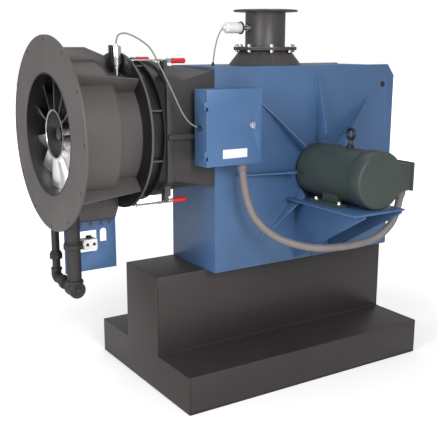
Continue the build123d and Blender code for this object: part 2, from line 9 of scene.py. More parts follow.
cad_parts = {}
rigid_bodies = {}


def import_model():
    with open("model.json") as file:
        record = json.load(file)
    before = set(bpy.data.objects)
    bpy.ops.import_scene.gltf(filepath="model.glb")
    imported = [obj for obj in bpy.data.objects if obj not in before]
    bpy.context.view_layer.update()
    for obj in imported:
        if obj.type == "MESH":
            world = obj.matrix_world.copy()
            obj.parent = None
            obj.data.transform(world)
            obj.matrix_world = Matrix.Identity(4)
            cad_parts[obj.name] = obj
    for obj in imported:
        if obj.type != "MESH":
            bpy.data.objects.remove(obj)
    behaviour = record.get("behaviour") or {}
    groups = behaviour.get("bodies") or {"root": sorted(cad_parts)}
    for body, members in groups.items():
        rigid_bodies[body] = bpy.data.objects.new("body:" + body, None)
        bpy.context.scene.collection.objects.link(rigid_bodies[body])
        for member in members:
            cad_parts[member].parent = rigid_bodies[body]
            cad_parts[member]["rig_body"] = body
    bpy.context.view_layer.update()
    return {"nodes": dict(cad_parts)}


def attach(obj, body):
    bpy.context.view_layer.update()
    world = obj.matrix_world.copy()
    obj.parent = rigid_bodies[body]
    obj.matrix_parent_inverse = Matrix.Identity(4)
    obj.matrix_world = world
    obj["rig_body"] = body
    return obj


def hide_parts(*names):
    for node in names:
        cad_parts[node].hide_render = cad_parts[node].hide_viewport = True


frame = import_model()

bl_info = {
    "name": "Package gas burner",
    "version": (1, 0, 0),
    "blender": (4, 5, 0),
    "location": "3D View > Sidebar > Burner",
    "description": "Finishes, details and stage for a package gas burner",
    "category": "Add Mesh",
}

NODES = frame["nodes"]
# Places and sizes in metres, in the CAD's frame.
AXIS_Z = 1.459
AXIS = Vector((0, 0, AXIS_Z))
FAN_X = 0.176
FAN = Vector((FAN_X, 0, 1.2))
SKID_HALF = 0.8245
STEP_TOP = 0.211
HOUSING_FRONT = -0.2355
RIB_NEAR, RIB_FAR = 0.165, 0.563
VANE_ROOT_R, VANE_TIP_R = 0.1235, 0.2985
TIE_ROD_R = 0.363
TIE_ROD_TURNS = (20, 67, 113, 160, 200, 247, 293, 340)
CLAMP_Y = 0.2
PIVOT_X, PIVOT_UP = -0.8, 0.355
PIN_X, PIN_UP = -0.772, 0.365
FLOOR_HALF, FLOOR_Z = 30, -0.001
WORLD_GLOW = 0.45
# The camera: frame side and focal length in one unit, sensor in millimetres, turns in degrees.
FRAME_SIDE, FOCAL, SENSOR = 441, 771.6788, 36
CAMERA_PLACE = (-2.698, -3.6945, 1.9071)
CAMERA_TURNS = (-32.5601, 12.9545, 0.1272)


def srgb(red, green, blue):
    """Linear colour from 8-bit values."""
    made = []
    for value in (red, green, blue):
        value /= 255
        made.append(value / 12.92 if value < 0.04045 else ((value + 0.055) / 1.055) ** 2.4)
    return made


def colour(name, words, values):
    """A colour property with its default."""
    return bpy.props.FloatVectorProperty(
        name=name, description=words, subtype="COLOR", size=3, min=0, max=1,
        default=srgb(*values))


def length(name, words, value):
    """A length property with its default."""
    return bpy.props.FloatProperty(
        name=name, description=words, default=value, unit="LENGTH", subtype="DISTANCE")


class BurnerColours(bpy.types.PropertyGroup):
    """Paint and metal colours."""

    housing: colour("Housing", "Fan housing paint", (66, 97, 136))
    enclosure: colour("Control box", "Control box paint", (74, 108, 150))
    skid: colour("Skid", "Skid paint", (52, 46, 46))
    head: colour("Head", "Burner head paint", (88, 84, 83))
    duct: colour("Duct", "Transition duct paint", (64, 61, 60))
    casing: colour("Casing", "Black register casing", (26, 26, 27))
    motor: colour("Motor", "Motor enamel", (58, 67, 64))
    conduit: colour("Conduit", "Conduit jacket", (120, 114, 113))
    cable: colour("Cable", "Cable sheath", (128, 128, 124))
    grip: colour("Grip", "Clamp grips", (205, 32, 40))
    plastic: colour("Plastic", "White moulded parts", (232, 232, 230))
    gas: colour("Gas pipe", "Gas pipe and fittings", (42, 40, 41))


class BurnerSizes(bpy.types.PropertyGroup):
    """Sizes of the dressed details."""

    edge: length("Edge", "Rounding of plate edges", 0.0018)
    conduit: length("Conduit", "Outside diameter of the conduit", 0.042)
    cable: length("Scanner cable", "Diameter of the scanner cable", 0.008)
    lead: length("Sensor lead", "Diameter of the sensor lead", 0.007)
    grip: length("Grip", "Radius of a clamp grip", 0.014)
    vane: length("Vane", "Thickness of a swirl vane", 0.003)


def turns(count):
    """Angles that share a full circle equally."""
    return [2 * math.pi * k / count for k in range(count)]


def link(obj):
    """Puts an object in the scene."""
    bpy.context.scene.collection.objects.link(obj)
    return obj


def finish(name, base, rough=0.4, metal=0.0, tone=0.12, scale=6, grain=0.15, fine=350, coat=0.0,
           stretch=(1, 1, 1)):
    """A paint, metal or plastic with uneven tone, wear in its gloss and a fine surface grain."""
    if name in bpy.data.materials:
        return bpy.data.materials[name]
    made = bpy.data.materials.new(name)
    made.use_nodes = True
    tree = made.node_tree
    nodes, links = tree.nodes, tree.links
    nodes.clear()
    out = nodes.new("ShaderNodeOutputMaterial")
    shader = nodes.new("ShaderNodeBsdfPrincipled")
    links.new(shader.outputs["BSDF"], out.inputs["Surface"])
    place = nodes.new("ShaderNodeTexCoord")
    turn = nodes.new("ShaderNodeMapping")
    turn.inputs["Scale"].default_value = stretch
    links.new(place.outputs["Object"], turn.inputs["Vector"])
    cloud = nodes.new("ShaderNodeTexNoise")
    cloud.inputs["Scale"].default_value = scale
    cloud.inputs["Detail"].default_value = 6
    links.new(turn.outputs["Vector"], cloud.inputs["Vector"])
    ramp = nodes.new("ShaderNodeValToRGB")
    ramp.color_ramp.elements[0].position = 0.3
    ramp.color_ramp.elements[1].position = 0.72
    dark = [c * (1 - tone) for c in base]
    pale = [min(1, c * (1 + tone)) for c in base]
    ramp.color_ramp.elements[0].color = (*dark, 1)
    ramp.color_ramp.elements[1].color = (*pale, 1)
    links.new(cloud.outputs["Fac"], ramp.inputs["Fac"])
    links.new(ramp.outputs["Color"], shader.inputs["Base Color"])
    gloss = nodes.new("ShaderNodeMapRange")
    gloss.inputs["To Min"].default_value = max(0.05, rough - 0.1)
    gloss.inputs["To Max"].default_value = min(1, rough + 0.12)
    links.new(cloud.outputs["Fac"], gloss.inputs["Value"])
    links.new(gloss.outputs["Result"], shader.inputs["Roughness"])
    tiny = nodes.new("ShaderNodeTexNoise")
    tiny.inputs["Scale"].default_value = fine
    tiny.inputs["Detail"].default_value = 3
    links.new(turn.outputs["Vector"], tiny.inputs["Vector"])
    bump = nodes.new("ShaderNodeBump")
    bump.inputs["Strength"].default_value = grain
    bump.inputs["Distance"].default_value = 0.001
    links.new(tiny.outputs["Fac"], bump.inputs["Height"])
    links.new(bump.outputs["Normal"], shader.inputs["Normal"])
    shader.inputs["Metallic"].default_value = metal
    shader.inputs["Coat Weight"].default_value = coat
    return made


def paints():
    """Every finish of the burner, by name."""
    c = bpy.context.scene.burner_colours
    return {
        "housing": finish("housing blue paint", c.housing, 0.42, tone=0.1, scale=3, coat=0.15),
        "enclosure": finish("enclosure blue paint", c.enclosure, 0.4, tone=0.06, scale=3),
        "skid": finish("skid paint", c.skid, 0.4, tone=0.1, scale=2.5),
        "head": finish("head grey paint", c.head, 0.46, tone=0.1, scale=5, grain=0.25, fine=220),
        "duct": finish("duct grey paint", c.duct, 0.42, tone=0.12, scale=5),
        "casing": finish("casing black paint", c.casing, 0.35, tone=0.15, scale=6),
        "motor": finish("motor enamel", c.motor, 0.4, tone=0.08, scale=9, grain=0.3, fine=240),
        "conduit": finish("conduit jacket", c.conduit, 0.55, tone=0.06, scale=20, grain=0.2),
        "cable": finish("cable sheath", c.cable, 0.5, tone=0.06, scale=30),
        "grip": finish("grip red dip", c.grip, 0.28, tone=0.05, scale=30, coat=0.4),
        "plastic": finish("white moulding", c.plastic, 0.4, tone=0.03, scale=20),
        "black": finish("black moulding", srgb(28, 28, 30), 0.45, tone=0.1, scale=25),
        "gas": finish("gas pipe paint", c.gas, 0.5, tone=0.14, scale=20, grain=0.5, fine=160),
        "zinc": finish("zinc plate", srgb(200, 200, 202), 0.3, 1.0, 0.08, 30, 0.1),
        "bright": finish("bright turned steel", srgb(225, 225, 228), 0.22, 1.0, 0.05, 40, 0.08,
                         stretch=(1, 1, 8)),
        "dark": finish("dark machined steel", srgb(110, 110, 112), 0.35, 1.0, 0.1, 30),
        "vane": finish("vane aluminium", srgb(238, 236, 238), 0.3, 0.9, 0.04, 12, 0.12,
                       stretch=(1, 6, 1)),
        "primer": finish("fan primer", srgb(120, 120, 122), 0.5, 0.0, 0.1, 12),
        "plate": finish("bare name plate", srgb(236, 236, 238), 0.3, 0.0, 0.02, 20),
    }


def wear(obj, material):
    """Sets one material on an object."""
    obj.data.materials.clear()
    obj.data.materials.append(material)


def solid(name, bm, material, body="frame"):
    """A finished piece from a bmesh, riding on a body."""
    bmesh.ops.recalc_face_normals(bm, faces=bm.faces)
    mesh = bpy.data.meshes.new(name)
    bm.to_mesh(mesh)
    bm.free()
    obj = link(bpy.data.objects.new(name, mesh))
    wear(obj, material)
    soften(obj)
    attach(obj, body)
    return obj


def soften(obj, degrees=35):
    """Smooth shading with sharp edges kept."""
    mesh = obj.data
    mesh.polygons.foreach_set("use_smooth", [True] * len(mesh.polygons))
    mesh.set_sharp_from_angle(angle=math.radians(degrees))


def basis(way):
    """Turns +Z to a direction."""
    return Vector(way).normalized().to_track_quat("Z", "Y").to_matrix().to_4x4()


def lathe(bm, start, way, profile, steps=48):
    """Closed ring of (along, radius) points turned about a line; radius 0 closes on the line."""
    place = Matrix.Translation(Vector(start)) @ basis(way)
    rows = []
    for along, radius in profile:
        if radius < 1e-6:
            rows.append([bm.verts.new(place @ Vector((0, 0, along)))])
            continue
        rows.append([
            bm.verts.new(place @ Vector((radius * math.cos(a), radius * math.sin(a), along)))
            for a in turns(steps)])
    closed = profile[0][1] > 1e-6 or profile[-1][1] > 1e-6
    pairs = list(zip(rows, rows[1:] + rows[:1])) if closed else list(zip(rows, rows[1:]))
    for low, high in pairs:
        for i in range(steps):
            j = (i + 1) % steps
            corners = [low[i % len(low)], low[j % len(low)], high[j % len(high)],
                       high[i % len(high)]]
            corners = list(dict.fromkeys(corners))
            if len(corners) > 2:
                bm.faces.new(corners)


def block(bm, low, high, round_by=0.0):
    """Box between two corners, with rounded edges."""
    made = bmesh.ops.create_cube(bm, size=1)
    verts = made["verts"]
    size = Vector(high) - Vector(low)
    middle = (Vector(high) + Vector(low)) / 2
    for v in verts:
        v.co = Vector((v.co.x * size.x, v.co.y * size.y, v.co.z * size.z)) + middle
    if round_by:
        edges = list({e for v in verts for e in v.link_edges})
        bmesh.ops.bevel(bm, geom=edges, offset=round_by, segments=2, profile=0.6,
                        affect="EDGES", clamp_overlap=True)


def pipe_along(bm, points, radius, steps=20, closed=False):
    """Round bar that follows points."""
    rows = []
    count = len(points)
    previous = None
    for i, point in enumerate(points):
        point = Vector(point)
        if closed:
            way = Vector(points[(i + 1) % count]) - Vector(points[i - 1])
        else:
            way = Vector(points[min(i + 1, count - 1)]) - Vector(points[max(i - 1, 0)])
        way.normalize()
        side = previous - way * previous.dot(way) if previous else way.orthogonal()
        side.normalize()
        previous = side
        other = way.cross(side)
        rows.append([bm.verts.new(point + radius * (side * math.cos(a) + other * math.sin(a)))
                     for a in turns(steps)])
    pairs = list(zip(rows, rows[1:]))
    if closed:
        pairs.append((rows[-1], rows[0]))
    for low, high in pairs:
        for i in range(steps):
            j = (i + 1) % steps
            bm.faces.new((low[i], low[j], high[j], high[i]))
    if not closed:
        bm.faces.new(rows[0])
        bm.faces.new(rows[-1])


def rounded_copy(node, material, width):
    """A copy of a CAD node with rounded edges, which stands for it."""
    source = NODES[node]
    bm = bmesh.new()
    bm.from_mesh(source.data)
    bmesh.ops.remove_doubles(bm, verts=bm.verts, dist=0.00002)
    bmesh.ops.dissolve_limit(bm, angle_limit=math.radians(1), verts=bm.verts, edges=bm.edges)
    mesh = bpy.data.meshes.new(node + "_dressed")
    bm.to_mesh(mesh)
    bm.free()
    obj = link(bpy.data.objects.new(node + "_dressed", mesh))
    wear(obj, material)
    bevel = obj.modifiers.new("edges", "BEVEL")
    bevel.width = width
    bevel.segments = 2
    bevel.limit_method = "ANGLE"
    bevel.angle_limit = math.radians(40)
    bevel.use_clamp_overlap = True
    result = bpy.data.meshes.new_from_object(
        obj.evaluated_get(bpy.context.evaluated_depsgraph_get()))
    obj.modifiers.clear()
    obj.data = result
    soften(obj, 50)
    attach(obj, source["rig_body"])
    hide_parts(node)


def fastener_tree():
    """Geometry Nodes tree that puts a washered hex head on every point."""
    name = "Hex heads"
    if name in bpy.data.node_groups:
        return bpy.data.node_groups[name]
    tree = bpy.data.node_groups.new(name, "GeometryNodeTree")
    face = tree.interface
    face.new_socket(name="Points", in_out="INPUT", socket_type="NodeSocketGeometry")
    for label, value in (("Radius", 0.012), ("Height", 0.01), ("Washer", 0.016)):
        socket = face.new_socket(name=label, in_out="INPUT", socket_type="NodeSocketFloat")
        socket.default_value = value
    face.new_socket(name="Turn", in_out="INPUT", socket_type="NodeSocketVector")
    face.new_socket(name="Finish", in_out="INPUT", socket_type="NodeSocketMaterial")
    face.new_socket(name="Heads", in_out="OUTPUT", socket_type="NodeSocketGeometry")
    nodes, links = tree.nodes, tree.links
    entry = nodes.new("NodeGroupInput")
    leave = nodes.new("NodeGroupOutput")
    head = nodes.new("GeometryNodeMeshCylinder")
    head.inputs["Vertices"].default_value = 6
    links.new(entry.outputs["Radius"], head.inputs["Radius"])
    links.new(entry.outputs["Height"], head.inputs["Depth"])
    middle = nodes.new("ShaderNodeMath")
    middle.operation = "MULTIPLY"
    middle.inputs[1].default_value = 0.62
    links.new(entry.outputs["Height"], middle.inputs[0])
    lift = nodes.new("ShaderNodeCombineXYZ")
    links.new(middle.outputs[0], lift.inputs["Z"])
    raise_head = nodes.new("GeometryNodeTransform")
    links.new(head.outputs["Mesh"], raise_head.inputs["Geometry"])
    links.new(lift.outputs["Vector"], raise_head.inputs["Translation"])
    washer = nodes.new("GeometryNodeMeshCylinder")
    washer.inputs["Vertices"].default_value = 24
    links.new(entry.outputs["Washer"], washer.inputs["Radius"])
    thin = nodes.new("ShaderNodeMath")
    thin.operation = "MULTIPLY"
    thin.inputs[1].default_value = 0.24
    links.new(entry.outputs["Height"], thin.inputs[0])
    links.new(thin.outputs[0], washer.inputs["Depth"])
    both = nodes.new("GeometryNodeJoinGeometry")
    links.new(washer.outputs["Mesh"], both.inputs["Geometry"])
    links.new(raise_head.outputs["Geometry"], both.inputs["Geometry"])
    spots = nodes.new("GeometryNodeMeshToPoints")
    links.new(entry.outputs["Points"], spots.inputs["Mesh"])
    angle = nodes.new("FunctionNodeEulerToRotation")
    links.new(entry.outputs["Turn"], angle.inputs["Euler"])
    place = nodes.new("GeometryNodeInstanceOnPoints")
    links.new(spots.outputs["Points"], place.inputs["Points"])
    links.new(both.outputs["Geometry"], place.inputs["Instance"])
    links.new(angle.outputs["Rotation"], place.inputs["Rotation"])
    real = nodes.new("GeometryNodeRealizeInstances")
    links.new(place.outputs["Instances"], real.inputs["Geometry"])
    paint = nodes.new("GeometryNodeSetMaterial")
    links.new(real.outputs["Geometry"], paint.inputs["Geometry"])
    links.new(entry.outputs["Finish"], paint.inputs["Material"])
    links.new(paint.outputs["Geometry"], leave.inputs["Heads"])
    return tree


def fasteners(name, points, way, radius, height, material, body="frame"):
    """A row of hex heads with washers at points, facing one way."""
    mesh = bpy.data.meshes.new(name)
    mesh.from_pydata([tuple(p) for p in points], [], [])
    obj = link(bpy.data.objects.new(name, mesh))
    tree = fastener_tree()
    mod = obj.modifiers.new("heads", "NODES")
    mod.node_group = tree
    turn = Vector(way).to_track_quat("Z", "Y").to_euler()
    values = {"Radius": radius, "Height": height, "Washer": radius * 1.35,
              "Turn": tuple(turn), "Finish": material}
    for item in tree.interface.items_tree:
        if item.in_out == "INPUT" and item.name in values:
            mod[item.identifier] = values[item.name]
    result = bpy.data.meshes.new_from_object(
        obj.evaluated_get(bpy.context.evaluated_depsgraph_get()))
    obj.modifiers.clear()
    obj.data = result
    if not result.materials:
        result.materials.append(material)
    result.polygons.foreach_set("use_smooth", [False] * len(result.polygons))
    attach(obj, body)
    return obj


def spline(name, points, diameter, material):
    """A smooth cord through its route's points."""
    curve = bpy.data.curves.new(name, "CURVE")
    curve.dimensions = "3D"
    line = curve.splines.new("NURBS")
    line.points.add(len(points) - 1)
    for spot, point in zip(line.points, points):
        spot.co = (*point, 1)
    line.order_u = 3
    line.use_endpoint_u = True
    line.resolution_u = 12
    curve.bevel_depth = diameter / 2
    curve.bevel_resolution = 6
    curve.use_fill_caps = True
    obj = link(bpy.data.objects.new(name, curve))
    obj.data.materials.append(material)
    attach(obj, "frame")
    return obj


class BURNER_OT_finishes(bpy.types.Operator):
    """Give every carried CAD node its finish."""

    bl_idname = "burner.finishes"
    bl_label = "Finishes"

    def execute(self, context):
        """Set the materials by name."""
        m = paints()
        rules = (("plinth", "skid"), ("fan_shaft", "dark"), ("fan_", "housing"),
                 ("front_plate", "housing"), ("impeller", "primer"), ("cooling", "black"),
                 ("stator", "dark"), ("motor_bearings", "bright"), ("motor_shelf", "housing"),
                 ("shelf", "housing"), ("motor", "motor"), ("terminal", "motor"),
                 ("hex", "zinc"), ("inlet", "duct"), ("stack_pipe", "duct"),
                 ("stack_sensor", "plastic"), ("sensor", "cable"), ("transition", "duct"),
                 ("duct_frame", "duct"), ("casing", "casing"), ("tie", "zinc"),
                 # The ring plate takes the black casing paint as painted shade: its front face is
                 # dark because it lies in shadow.
                 ("gas_bracket", "enclosure"), ("throat", "casing"), ("ring_plate", "casing"),
                 ("swirl_hub", "bright"), ("swirl", "vane"),
                 ("gas_lance", "casing"), ("gas", "gas"), ("pipe", "gas"),
                 ("pressure", "plastic"), ("flame", "bright"), ("scanner", "cable"),
                 ("control", "enclosure"), ("door_latch", "bright"), ("box", "duct"),
                 ("conduit", "conduit"), ("clamp_lever", "grip"), ("clamp_base", "dark"),
                 ("clamp", "zinc"))
        for name, obj in NODES.items():
            found = [value for start, value in rules if name.startswith(start)]
            wear(obj, m[found[0]] if found else m["head"])
        return {"FINISHED"}


class BURNER_OT_plates(bpy.types.Operator):
    """Round the edges of the folded and welded plates."""

    bl_idname = "burner.plates"
    bl_label = "Plates"

    def execute(self, context):
        """Dress each plate node with rounded edges."""
        m = paints()
        edge = context.scene.burner_sizes.edge
        for node, paint, width in (
                ("plinth_end_plates", "skid", edge * 1.6), ("plinth_step_shell", "skid", edge * 2),
                ("plinth_column_shell", "skid", edge * 2), ("fan_front_plate", "housing", edge),
                ("fan_back_plate", "housing", edge), ("fan_wrapper", "housing", edge),
                ("front_plate_ribs", "housing", edge), ("motor_shelf", "housing", edge),
                ("shelf_gussets", "housing", edge), ("mounting_flange", "head", edge),
                # The ring plate's copy keeps the black casing paint, painted shade on its front
                # face.
                ("ring_plate", "casing", edge), ("head_gussets", "head", edge * 0.8),
                ("duct_frame", "duct", edge * 1.4), ("gas_bracket_plate", "enclosure", edge * 0.7),
                ("terminal_box", "motor", edge), ("control_box", "enclosure", edge * 0.6),
                ("control_door", "enclosure", edge * 0.5), ("inlet_hood", "duct", edge),
                ("stack_pipe", "duct", edge * 0.8)):
            rounded_copy(node, m[paint], width)
        return {"FINISHED"}


class BURNER_OT_welds(bpy.types.Operator):
    """Add the weld beads where plates meet."""

    bl_idname = "burner.welds"
    bl_label = "Welds"

    def execute(self, context):
        """Run a bead along each seam."""
        m = paints()
        bm = bmesh.new()
        for y in (-0.137, 0.237):
            pipe_along(bm, [(-SKID_HALF, y, STEP_TOP), (SKID_HALF, y, STEP_TOP)], 0.0035, 8)
        solid("skid_weld", bm, m["skid"])
        bm = bmesh.new()
        for degrees in (0, 45, 90, 135, 225, 270, 315):
            a = math.radians(degrees)
            way = Vector((math.sin(a), 0, math.cos(a)))
            side = Vector((math.cos(a), 0, -math.sin(a)))
            for s in (-1, 1):
                foot = side * s * 0.0045 + Vector((0, HOUSING_FRONT, 0))
                pipe_along(bm, [FAN + way * RIB_NEAR + foot, FAN + way * RIB_FAR + foot],
                           0.0025, 6)
        solid("rib_weld", bm, m["housing"])
        bm = bmesh.new()
        for x, r in ((-1.1105, 0.361), (-1.1065, 0.303), (-0.976, 0.303), (-1.3385, 0.361)):
            ring = [AXIS + Vector((x, r * math.cos(t), r * math.sin(t))) for t in turns(96)]
            pipe_along(bm, ring, 0.003, 6, closed=True)
        solid("head_weld", bm, m["head"])
        return {"FINISHED"}


class BURNER_OT_swirler(bpy.types.Operator):
    """Form the twisted vanes, the hub and its diffuser disc."""

    bl_idname = "burner.swirler"
    bl_label = "Swirler"

    def execute(self, context):
        """Twist each vane from hub to sleeve."""
        m = paints()
        thick = context.scene.burner_sizes.vane
        middle, chord, bulge = -1.255, 0.112, 0.018
        rows, steps = 8, 6
        bm = bmesh.new()
        for k in range(12):
            turn = Matrix.Rotation(math.radians(30 * k + 15), 4, "X")
            sides = []
            for s in (-1, 1):
                grid = []
                for i in range(rows + 1):
                    r = VANE_ROOT_R + (VANE_TIP_R - VANE_ROOT_R) * i / rows
                    row = []
                    pitch = math.radians(24 + 22 * i / rows)
                    for j in range(steps + 1):
                        t = (j / steps - 0.5) * chord
                        curl = bulge * (1 - (2 * j / steps - 1) ** 2)
                        x = middle + t * math.cos(pitch) - curl * math.sin(pitch)
                        y = t * math.sin(pitch) + curl * math.cos(pitch) + s * thick / 2
                        up = math.sqrt(max(r * r - y * y, 0))
                        row.append(bm.verts.new(AXIS + turn @ Vector((x, y, up))))
                    grid.append(row)
                sides.append(grid)
            a, b = sides
            for grid in (a, b):
                for i in range(rows):
                    for j in range(steps):
                        bm.faces.new((grid[i][j], grid[i + 1][j], grid[i + 1][j + 1],
                                      grid[i][j + 1]))
            for i in range(rows):
                for j in (0, steps):
                    bm.faces.new((a[i][j], a[i + 1][j], b[i + 1][j], b[i][j]))
            for j in range(steps):
                for i in (0, rows):
                    bm.faces.new((a[i][j], a[i][j + 1], b[i][j + 1], b[i][j]))
        vanes = solid("swirl_vanes_formed", bm, m["vane"])
        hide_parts("swirl_vanes")
        bm = bmesh.new()
        lathe(bm, AXIS + Vector((-1.315, 0, 0)), (1, 0, 0),
              [(0.002, 0.117), (0, 0.1185), (0, 0.1215), (0.002, 0.123), (0.118, 0.123),
               (0.12, 0.121), (0.12, 0.031), (0.113, 0.031), (0.111, 0.115), (0.1, 0.117)], 72)
        lathe(bm, AXIS + Vector((-1.318, 0, 0)), (1, 0, 0),
              [(0, 0.1195), (0.001, 0.1245), (0.006, 0.1255), (0.012, 0.1235),
               (0.012, 0.1195)], 72)
        hub = solid("swirl_hub_turned", bm, m["bright"])
        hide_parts("swirl_hub")
        bm = bmesh.new()
        lathe(bm, AXIS + Vector((-1.212, 0, 0)), (1, 0, 0),
              [(0, 0.0), (0, 0.1165), (0.004, 0.1165), (0.004, 0.0)], 64)
        for a in turns(16):
            spot = AXIS + Vector((-1.2145, 0.085 * math.cos(a), 0.085 * math.sin(a)))
            lathe(bm, spot, (1, 0, 0), [(0, 0), (0, 0.009), (0.003, 0.009), (0.003, 0)], 16)
        solid("hub_diffuser", bm, m["casing"])
        return {"FINISHED"}


class BURNER_OT_head(bpy.types.Operator):
    """Add the tie rods and their nuts, the ring's rim and the drum's seam."""

    bl_idname = "burner.head"
    bl_label = "Head"

    def execute(self, context):
        """Place the rods round the drum, then the rim and the seam."""
        m = paints()
        bm = bmesh.new()
        ends = []
        for turn in TIE_ROD_TURNS:
            a = math.radians(turn)
            y, z = TIE_ROD_R * math.cos(a), TIE_ROD_R * math.sin(a)
            ends.append(AXIS + Vector((-0.9645, y, z)))
            lathe(bm, AXIS + Vector((-0.965, y, z)), (1, 0, 0),
                  [(0, 0), (0, 0.0052), (0.076, 0.0052), (0.076, 0)], 12)
        rods = solid("tie_rods_turned", bm, m["head"])
        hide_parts("tie_rods")
        fasteners("tie_rod_nuts", ends, (1, 0, 0), 0.01, 0.008, m["zinc"])
        bm = bmesh.new()
        lathe(bm, AXIS + Vector((-0.9755, 0, 0)), (1, 0, 0),
              [(0, 0.402), (0, 0.4045), (0.011, 0.4045), (0.011, 0.402)], 120)
        solid("ring_rim", bm, m["head"])
        bm = bmesh.new()
        block(bm, (-1.3385, -0.0035, 1.098), (-1.116, 0.0035, 1.1005))
        solid("drum_seam", bm, m["head"])
        return {"FINISHED"}


class BURNER_OT_clamps(bpy.types.Operator):
    """Build the toggle clamps: levers, grips and bows."""

    bl_idname = "burner.clamps"
    bl_label = "Clamps"

    def execute(self, context):
        """Make each clamp for its corner."""
        m = paints()
        grip = context.scene.burner_sizes.grip
        for name, side, up in (("a", -1, 1), ("b", 1, 1), ("c", -1, -1), ("d", 1, -1)):
            y = CLAMP_Y * side
            pin_z = AXIS_Z + up * PIN_UP
            body = "clamp_lever_" + name
            bm = bmesh.new()
            lathe(bm, (PIVOT_X, y - 0.006, AXIS_Z + up * PIVOT_UP), (0, 1, 0),
                  [(0, 0.00405), (0, 0.009), (0.012, 0.009), (0.012, 0.00405)], 24)
            lathe(bm, (PIN_X, y - 0.0135, pin_z), (0, 1, 0),
                  [(0, 0), (0, 0.004), (0.027, 0.004), (0.027, 0)], 20)
            low, high = sorted((AXIS_Z + up * 0.3505, AXIS_Z + up * 0.3645))
            for s in (-1, 1):
                block(bm, (-0.792, y + s * 0.0045 - 0.0015, low),
                      (-0.755, y + s * 0.0045 + 0.0015, high), 0.0008)
            low, high = sorted((AXIS_Z + up * 0.353, AXIS_Z + up * 0.366))
            block(bm, (-0.768, y - 0.0058, low), (-0.748, y + 0.0058, high), 0.001)
            lever = solid("lever_" + name, bm, m["zinc"], body)
            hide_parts(body)
            bm = bmesh.new()
            lathe(bm, (-0.754, y, AXIS_Z + up * 0.36), (1, 0, 0),
                  [(0, 0), (0, grip * 0.8), (0.003, grip * 0.98), (0.01, grip),
                   (0.03, grip * 0.93), (0.055, grip * 0.95), (0.072, grip),
                   (0.078, grip * 0.8), (0.081, grip * 0.45), (0.082, 0)], 28)
            solid("grip_" + name, bm, m["grip"], body)
            bm = bmesh.new()
            reach, bend = -0.981, 0.008
            half = [(PIN_X, 0.01), (reach + bend, 0.01), (reach + 0.002, 0.0085),
                    (reach, 0.0055)]
            path = [(x, y - out, pin_z) for x, out in half]
            path += [(x, y + out, pin_z) for x, out in reversed(half)]
            pipe_along(bm, path, 0.0034, 12)
            for leg in (-0.01, 0.01):
                lathe(bm, (PIN_X, y + leg - 0.0034, pin_z), (0, 1, 0),
                      [(0, 0.00405), (0, 0.008), (0.0068, 0.008), (0.0068, 0.00405)], 24)
                for k in range(2):
                    lathe(bm, (-0.83 - 0.012 * k, y + leg, pin_z), (1, 0, 0),
                          [(0, 0.0034), (0, 0.0058), (0.008, 0.0058), (0.008, 0.0034)], 6)
            bow = solid("bow_" + name, bm, m["bright"], "clamp_bow_" + name)
            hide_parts("clamp_bow_" + name)
        return {"FINISHED"}


class BURNER_OT_motor(bpy.types.Operator):
    """Shape the motor's fan cover and eye, and add its bands and screws."""

    bl_idname = "burner.motor"
    bl_label = "Motor"

    def execute(self, context):
        """Dress the motor's frame and cover."""
        m = paints()
        bm = bmesh.new()
        lathe(bm, FAN + Vector((0, -0.7855, 0)), (0, 1, 0),
              [(0.0005, 0), (0.0005, 0.146), (0.001, 0.1495), (0.004, 0.1545), (0.009, 0.157),
               (0.094, 0.157), (0.0955, 0.1563), (0.0955, 0.1505), (0.08, 0.1505), (0.08, 0.153),
               (0.012, 0.153), (0.006, 0.149), (0.0035, 0.145), (0.0035, 0)], 96)
        cover = solid("fan_cover_pressed", bm, m["motor"])
        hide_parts("motor_fan_cover")
        bm = bmesh.new()
        for y in (-0.6905, -0.3305, -0.266):
            lathe(bm, FAN + Vector((0, y, 0)), (0, 1, 0),
                  [(0, 0.1485), (0, 0.1512), (0.006, 0.1512), (0.006, 0.1485)], 96)
        solid("motor_bands", bm, m["motor"])
        feet = [(FAN_X + s * 0.127, y, 1.0605) for s in (-1, 1) for y in (-0.605, -0.414)]
        fasteners("foot_bolts", feet, (0, 0, 1), 0.0125, 0.011, m["bright"])
        bm = bmesh.new()
        ring = [Vector((FAN_X, -0.535, 1.425))
                + Vector((0, 0.028 * math.cos(t), 0.028 * math.sin(t))) for t in turns(40)]
        pipe_along(bm, ring, 0.009, 16, closed=True)
        lathe(bm, (FAN_X, -0.535, 1.345), (0, 0, 1),
              [(0, 0), (0, 0.02), (0.012, 0.021), (0.018, 0.0205), (0.022, 0.012), (0.05, 0.0105),
               (0.056, 0.006), (0.056, 0)], 28)
        eye = solid("lifting_eye", bm, m["casing"])
        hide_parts("motor_eye_bolt")
        corners = [(0.4555, y, z) for y in (-0.738, -0.607) for z in (1.127, 1.263)]
        fasteners("terminal_cover_screws", corners, (1, 0, 0), 0.0045, 0.0035, m["zinc"])
        return {"FINISHED"}


class BURNER_OT_control_box(bpy.types.Operator):
    """Add the bare name plate and the latch to the control box."""

    bl_idname = "burner.control_box"
    bl_label = "Control box"

    def execute(self, context):
        """Dress the door and its latch."""
        m = paints()
        bm = bmesh.new()
        block(bm, (-0.568, -0.4012, 1.328), (-0.418, -0.3995, 1.374), 0.0006)
        solid("door_blank_plate", bm, m["plate"], "control_door")
        bm = bmesh.new()
        lathe(bm, (-0.386, -0.4004, 1.492), (0, -1, 0),
              [(0, 0), (0, 0.017), (0.003, 0.0185), (0.006, 0.017), (0.0065, 0.012),
               (0.0055, 0.006), (0.0055, 0)], 36)
        block(bm, (-0.3895, -0.417, 1.474), (-0.3825, -0.4055, 1.51), 0.0014)
        lathe(bm, (-0.386, -0.401, 1.492), (0, 1, 0),
              [(0, 0), (0, 0.005), (0.014, 0.005), (0.014, 0)], 24)
        latch = solid("latch_turn", bm, m["bright"], "door_latch")
        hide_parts("door_latch")
        return {"FINISHED"}


